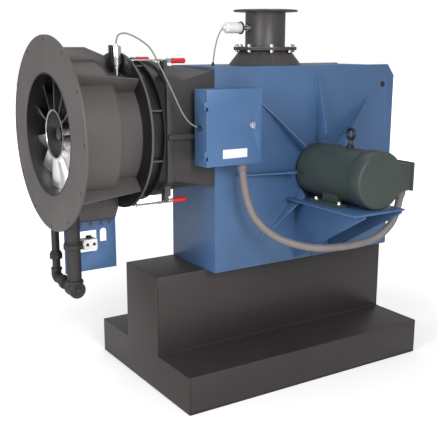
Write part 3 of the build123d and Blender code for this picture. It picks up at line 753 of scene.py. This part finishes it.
class BURNER_OT_cords(bpy.types.Operator):
    """Lay the conduit, the scanner cable and the sensor lead."""

    bl_idname = "burner.cords"
    bl_label = "Cords"

    def execute(self, context):
        """Run each cord and its end fittings."""
        m = paints()
        s = context.scene.burner_sizes
        route = [(-0.412, -0.345, 1.29), (-0.398, -0.352, 1.06), (-0.305, -0.445, 0.9),
                 (-0.15, -0.57, 0.834), (0.02, -0.635, 0.826), (0.24, -0.655, 0.836),
                 (0.344, -0.68, 0.896), (0.408, -0.688, 0.995), (0.42, -0.69, 1.12)]
        hose = spline("conduit_run", route, s.conduit, m["conduit"])
        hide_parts("conduit")
        bm = bmesh.new()
        for spot, way in (((-0.412, -0.345, 1.2905), (0.02, 0.0, -1)),
                          ((0.42, -0.69, 1.1205), (-0.08, 0.0, -1))):
            lathe(bm, spot, way, [(0, 0.0195), (0, 0.03), (0.006, 0.03), (0.006, 0.0275),
                                  (0.03, 0.0275), (0.034, 0.0245), (0.046, 0.0235),
                                  (0.046, 0.0195)], 32)
        solid("conduit_hubs", bm, m["conduit"])
        route = [(-1.001, -0.08, 1.9), (-0.999, -0.08, 1.94), (-0.962, -0.079, 1.958),
                 (-0.92, -0.092, 1.946), (-0.888, -0.14, 1.918), (-0.871, -0.206, 1.882),
                 (-0.853, -0.252, 1.806), (-0.822, -0.3, 1.708), (-0.792, -0.33, 1.616),
                 (-0.768, -0.346, 1.555), (-0.724, -0.349, 1.504), (-0.667, -0.345, 1.482)]
        cable = spline("scanner_lead", route, s.cable, m["cable"])
        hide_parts("scanner_cable")
        route = [(-0.315, 0, 1.986), (-0.338, 0, 1.962), (-0.358, 0, 1.905),
                 (-0.372, 0, 1.845), (-0.378, 0, 1.785)]
        lead = spline("sensor_lead", route, s.lead, m["cable"])
        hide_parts("sensor_cable")
        bm = bmesh.new()
        lathe(bm, (-0.6675, -0.345, 1.4825), (-1, 0, 0.38),
              [(0, 0.0045), (0, 0.012), (0.008, 0.012), (0.01, 0.0095), (0.024, 0.0075),
               (0.026, 0.0045)], 24)
        lathe(bm, (-0.378, 0, 1.7848), (0, 0, 1),
              [(0, 0.0035), (0, 0.01), (0.006, 0.01), (0.008, 0.008), (0.018, 0.006),
               (0.018, 0.0035)], 20)
        solid("cable_glands", bm, m["black"])
        return {"FINISHED"}


class BURNER_OT_instruments(bpy.types.Operator):
    """Build the scanner, the stack sensor and the pressure switch."""

    bl_idname = "burner.instruments"
    bl_label = "Instruments"

    def execute(self, context):
        """Model each instrument in its own finishes."""
        m = paints()
        x, y = -1.001, -0.08
        bm = bmesh.new()
        lathe(bm, (x, y, 1.735), (0, 0, 1),
              [(0, 0), (0, 0.014), (0.05, 0.014), (0.05, 0.019), (0.062, 0.019), (0.065, 0.024),
               (0.09, 0.024), (0.091, 0.0225), (0.095, 0.0225), (0.096, 0.024), (0.152, 0.024),
               (0.157, 0.022), (0.157, 0.012), (0.165, 0.0115), (0.165, 0)], 40)
        body = solid("scanner_turned", bm, m["bright"])
        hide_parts("flame_scanner")
        bm = bmesh.new()
        block(bm, (x - 0.033, y - 0.012, 1.79), (x - 0.025, y + 0.022, 1.896), 0.001)
        block(bm, (x - 0.026, y - 0.01, 1.8), (x - 0.018, y + 0.01, 1.83), 0.001)
        solid("scanner_plate", bm, m["casing"])
        bm = bmesh.new()
        lathe(bm, (-0.137, 0, 1.99), (-1, 0, 0),
              [(0, 0), (0, 0.016), (0.014, 0.016), (0.014, 0.012), (0.054, 0.012), (0.054, 0)], 32)
        solid("sensor_nipple", bm, m["bright"])
        bm = bmesh.new()
        lathe(bm, (-0.19, 0, 1.99), (-1, 0, 0),
              [(0, 0), (0, 0.033), (0.0015, 0.035), (0.0075, 0.035), (0.009, 0.033),
               (0.009, 0)], 48)
        solid("sensor_collar", bm, m["black"])
        bm = bmesh.new()
        lathe(bm, (-0.199, 0, 1.99), (-1, 0, 0),
              [(0, 0), (0, 0.0285), (0.003, 0.03), (0.035, 0.03), (0.036, 0.029), (0.039, 0.029),
               (0.04, 0.03), (0.092, 0.03), (0.1, 0.024), (0.1, 0.011), (0.1155, 0.0105),
               (0.1155, 0)], 48)
        shell = solid("sensor_shell", bm, m["plastic"])
        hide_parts("stack_sensor")
        bm = bmesh.new()
        block(bm, (-1.2395, -0.1492, 0.8805), (-1.1655, -0.0955, 0.9345), 0.004)
        block(bm, (-1.234, -0.1499, 0.887), (-1.207, -0.146, 0.928), 0.002)
        block(bm, (-1.198, -0.1499, 0.887), (-1.171, -0.146, 0.928), 0.002)
        lathe(bm, (-1.2525, -0.14, 0.912), (1, 0, 0),
              [(0, 0), (0, 0.0089), (0.014, 0.0089), (0.014, 0)], 24)
        switch = solid("switch_block", bm, m["plastic"])
        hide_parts("pressure_switch")
        bm = bmesh.new()
        for sx in (-1.2205, -1.1845):
            lathe(bm, (sx, -0.1498, 0.908), (0, 1, 0),
                  [(-0.0001, 0), (-0.0001, 0.0085), (0.0004, 0.0085), (0.0004, 0)], 20)
        lathe(bm, (-1.202, -0.122, 0.934), (0, 0, 1),
              [(0, 0), (0, 0.0158), (0.012, 0.0158), (0.0145, 0.0135), (0.0145, 0)], 28)
        solid("switch_ports", bm, m["black"])
        return {"FINISHED"}


class BURNER_OT_gas_train(bpy.types.Operator):
    """Shape the gas pipes' fittings with beads and flats."""

    bl_idname = "burner.gas_train"
    bl_label = "Gas train"

    def execute(self, context):
        """Turn the tee, elbow, unions and plug."""
        m = paints()
        x, z = -1.298, 0.69
        bm = bmesh.new()
        lathe(bm, (x, -0.19, z), (0, 1, 0),
              [(0, 0), (0, 0.04), (0.003, 0.043), (0.016, 0.043), (0.019, 0.04), (0.061, 0.04),
               (0.064, 0.043), (0.077, 0.043), (0.08, 0.04), (0.08, 0)], 40)
        lathe(bm, (x, -0.15, z), (0, 0, 1),
              [(0, 0), (0, 0.0405), (0.028, 0.0405), (0.031, 0.044), (0.044, 0.044),
               (0.046, 0.0415), (0.046, 0)], 40)
        block(bm, (-1.312, -0.206, 0.676), (-1.284, -0.188, 0.704), 0.0025)
        lathe(bm, (x, -0.19, z), (0, -1, 0),
              [(0, 0), (0, 0.03), (0.003, 0.028), (0.003, 0)], 32)
        lathe(bm, (x, -0.04, z), (0, 1, 0),
              [(0, 0.025), (0, 0.034), (0.002, 0.0375), (0.038, 0.0375), (0.04, 0.034),
               (0.04, 0.025)], 8)
        ring = []
        for k in range(9):
            a = math.radians(90 * k / 8)
            ring.append((x, 0.088 + 0.0185 * math.sin(a), 0.7085 - 0.0185 * math.cos(a)))
        pipe_along(bm, [(x, 0.074, z)] + ring + [(x, 0.1, 0.735)], 0.0265, 28)
        for spot, way in (((x, 0.07, z), (0, 1, 0)), ((x, 0.1, 0.728), (0, 0, 1))):
            lathe(bm, spot, way, [(0, 0.02), (0, 0.028), (0.002, 0.0295), (0.011, 0.0295),
                                  (0.013, 0.028), (0.013, 0.02)], 32)
        lathe(bm, (x, 0.1, 0.79), (0, 0, 1),
              [(0, 0.021), (0, 0.031), (0.003, 0.0355), (0.028, 0.0355), (0.031, 0.031),
               (0.04, 0.029), (0.04, 0.021)], 8)
        lathe(bm, (x, -0.15, 0.9), (0, 0, 1),
              [(0, 0.036), (0, 0.048), (0.004, 0.0525), (0.024, 0.0525), (0.028, 0.047),
               (0.034, 0.044), (0.034, 0.036)], 8)
        made = solid("gas_fittings", bm, m["gas"])
        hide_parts("pipe_fittings")
        return {"FINISHED"}


class BURNER_OT_fasteners(bpy.types.Operator):
    """Fit the hex bolts at the stack and the bracket, and black discs of painted shade in the
    lifting holes.
    """

    bl_idname = "burner.fasteners"
    bl_label = "Fasteners"

    def execute(self, context):
        """Place every row of heads."""
        m = paints()
        upper, lower = [], []
        for i in range(8):
            a = math.radians(22.5 + 45 * i)
            x, y = -0.024 + 0.1655 * math.cos(a), 0.1655 * math.sin(a)
            upper.append((x, y, 1.887))
            lower.append((x, y, 1.867))
        first = fasteners("stack_bolts", upper, (0, 0, 1), 0.0105, 0.012, m["zinc"])
        fasteners("stack_nuts", lower, (0, 0, -1), 0.0105, 0.01, m["zinc"])
        row = [(x, -0.0128, 0.979) for x in (-1.26, -1.2, -1.14, -1.08, -1.03)]
        bm = bmesh.new()
        # Black discs in the lifting holes of the front and back plates: painted shade for the dark
        # inside seen through the holes.
        for y in (-0.2345, 0.2275):
            lathe(bm, (0.687, y, 1.667), (0, 1, 0),
                  [(0, 0), (0, 0.0165), (0.001, 0.0174), (0.007, 0.0174), (0.007, 0)], 40)
        solid("lift_hole_shade_discs", bm, m["black"])
        fasteners("bracket_bolts", row, (0, -1, 0), 0.0085, 0.008, m["dark"])
        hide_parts("hex_bolts")
        return {"FINISHED"}


class BURNER_OT_stage(bpy.types.Operator):
    """Set the floor, the backdrop, the lamps and the camera."""

    bl_idname = "burner.stage"
    bl_label = "Stage"

    def execute(self, context):
        """Make the studio."""
        scene = context.scene
        mesh = bpy.data.meshes.new("floor")
        mesh.from_pydata([(FLOOR_HALF * x, FLOOR_HALF * y, FLOOR_Z)
                          for x, y in ((-1, -1), (1, -1), (1, 1), (-1, 1))], [], [(0, 1, 2, 3)])
        floor = link(bpy.data.objects.new("floor", mesh))
        pale = bpy.data.materials.new("pale floor")
        pale.use_nodes = True
        nodes, links = pale.node_tree.nodes, pale.node_tree.links
        shader = nodes["Principled BSDF"]
        shader.inputs["Base Color"].default_value = (0.92, 0.92, 0.92, 1)
        shader.inputs["Roughness"].default_value = 0.9
        shader.inputs["Specular IOR Level"].default_value = 0.1
        # The floor emits light for camera rays only, weakly within 1.5 m of the origin and more
        # strongly out to 4.5 m: painted light that whitens the outer floor and leaves the floor
        # round the burner painted darker.
        glow = nodes.new("ShaderNodeEmission")
        glow.inputs["Color"].default_value = (1, 1, 1, 1)
        rays = nodes.new("ShaderNodeLightPath")
        seen = nodes.new("ShaderNodeMath")
        seen.operation = "MULTIPLY"
        spread = nodes.new("ShaderNodeTexCoord")
        reach = nodes.new("ShaderNodeVectorMath")
        reach.operation = "LENGTH"
        links.new(spread.outputs["Object"], reach.inputs[0])
        far = nodes.new("ShaderNodeMapRange")
        far.inputs["From Min"].default_value = 1.5
        far.inputs["From Max"].default_value = 4.5
        far.inputs["To Min"].default_value = 0.34
        far.inputs["To Max"].default_value = 1.1
        links.new(reach.outputs["Value"], far.inputs["Value"])
        links.new(rays.outputs["Is Camera Ray"], seen.inputs[0])
        links.new(far.outputs["Result"], seen.inputs[1])
        links.new(seen.outputs[0], glow.inputs["Strength"])
        both = nodes.new("ShaderNodeAddShader")
        links.new(shader.outputs["BSDF"], both.inputs[0])
        links.new(glow.outputs["Emission"], both.inputs[1])
        links.new(both.outputs["Shader"], nodes["Material Output"].inputs["Surface"])
        floor.data.materials.append(pale)
        world = bpy.data.worlds.new("studio")
        scene.world = world
        world.use_nodes = True
        nodes, links = world.node_tree.nodes, world.node_tree.links
        base = nodes["Background"]
        base.inputs["Color"].default_value = (1, 1, 1, 1)
        base.inputs["Strength"].default_value = WORLD_GLOW
        white = nodes.new("ShaderNodeBackground")
        white.inputs["Color"].default_value = (1, 1, 1, 1)
        white.inputs["Strength"].default_value = 1
        rays = nodes.new("ShaderNodeLightPath")
        mix = nodes.new("ShaderNodeMixShader")
        seen = nodes.new("ShaderNodeMath")
        seen.operation = "MAXIMUM"
        links.new(rays.outputs["Is Camera Ray"], seen.inputs[0])
        links.new(rays.outputs["Is Transmission Ray"], seen.inputs[1])
        links.new(seen.outputs[0], mix.inputs["Fac"])
        links.new(base.outputs["Background"], mix.inputs[1])
        links.new(white.outputs["Background"], mix.inputs[2])
        links.new(mix.outputs["Shader"], nodes["World Output"].inputs["Surface"])
        for name, spot, aim, size, power in (
                ("key lamp", (-1.6, -6.2, 3.6), (0, 0, 1.1), 2.4, 235),
                ("side lamp", (-6.2, -2.2, 2.6), (-0.8, 0, 1.2), 2.4, 180),
                ("top lamp", (0.5, 1.6, 5.6), (0, 0, 1), 2.6, 20)):
            data = bpy.data.lights.new(name, "AREA")
            data.size = size
            data.energy = power
            lamp = link(bpy.data.objects.new(name, data))
            lamp.location = spot
            way = Vector(aim) - Vector(spot)
            lamp.rotation_euler = way.to_track_quat("-Z", "Y").to_euler()
        data = bpy.data.cameras.new("camera")
        data.sensor_width = SENSOR
        data.lens = FOCAL * SENSOR / FRAME_SIDE
        data.clip_end = 200
        camera = link(bpy.data.objects.new("camera", data))
        a, e, r = (math.radians(v) for v in CAMERA_TURNS)
        back = Vector((math.sin(a) * math.cos(e), -math.cos(a) * math.cos(e), math.sin(e)))
        right = Vector((math.cos(a), math.sin(a), 0))
        up = back.cross(right)
        across = right * math.cos(r) + up * math.sin(r)
        rise = up * math.cos(r) - right * math.sin(r)
        turn = Matrix((across, rise, back)).transposed().to_4x4()
        camera.matrix_world = Matrix.Translation(CAMERA_PLACE) @ turn
        scene.camera = camera
        scene.view_settings.view_transform = "Standard"
        return {"FINISHED"}


OPERATORS = (BURNER_OT_finishes, BURNER_OT_plates, BURNER_OT_welds, BURNER_OT_swirler,
             BURNER_OT_head, BURNER_OT_clamps, BURNER_OT_motor, BURNER_OT_control_box,
             BURNER_OT_cords, BURNER_OT_instruments, BURNER_OT_gas_train, BURNER_OT_fasteners,
             BURNER_OT_stage)


class BURNER_PT_panel(bpy.types.Panel):
    """Buttons and values of the burner."""

    bl_idname = "BURNER_PT_panel"
    bl_label = "Burner"
    bl_space_type = "VIEW_3D"
    bl_region_type = "UI"
    bl_category = "Burner"

    def draw(self, context):
        """List the values and the buttons."""
        layout = self.layout
        for group in (context.scene.burner_sizes, context.scene.burner_colours):
            for key in group.bl_rna.properties.keys():
                if key not in ("rna_type", "name"):
                    layout.prop(group, key)
        for operator in OPERATORS:
            layout.operator(operator.bl_idname)


CLASSES = (BurnerColours, BurnerSizes) + OPERATORS + (BURNER_PT_panel,)


def register():
    """Register the classes and their settings."""
    for item in CLASSES:
        bpy.utils.register_class(item)
    bpy.types.Scene.burner_colours = bpy.props.PointerProperty(type=BurnerColours)
    bpy.types.Scene.burner_sizes = bpy.props.PointerProperty(type=BurnerSizes)


def unregister():
    """Remove the settings and the classes."""
    del bpy.types.Scene.burner_sizes
    del bpy.types.Scene.burner_colours
    for item in reversed(CLASSES):
        bpy.utils.unregister_class(item)


def main():
    """Dress the burner in order."""
    register()
    for operator in OPERATORS:
        group, name = operator.bl_idname.split(".")
        getattr(getattr(bpy.ops, group), name)()


if __name__ == "__main__":
    main()
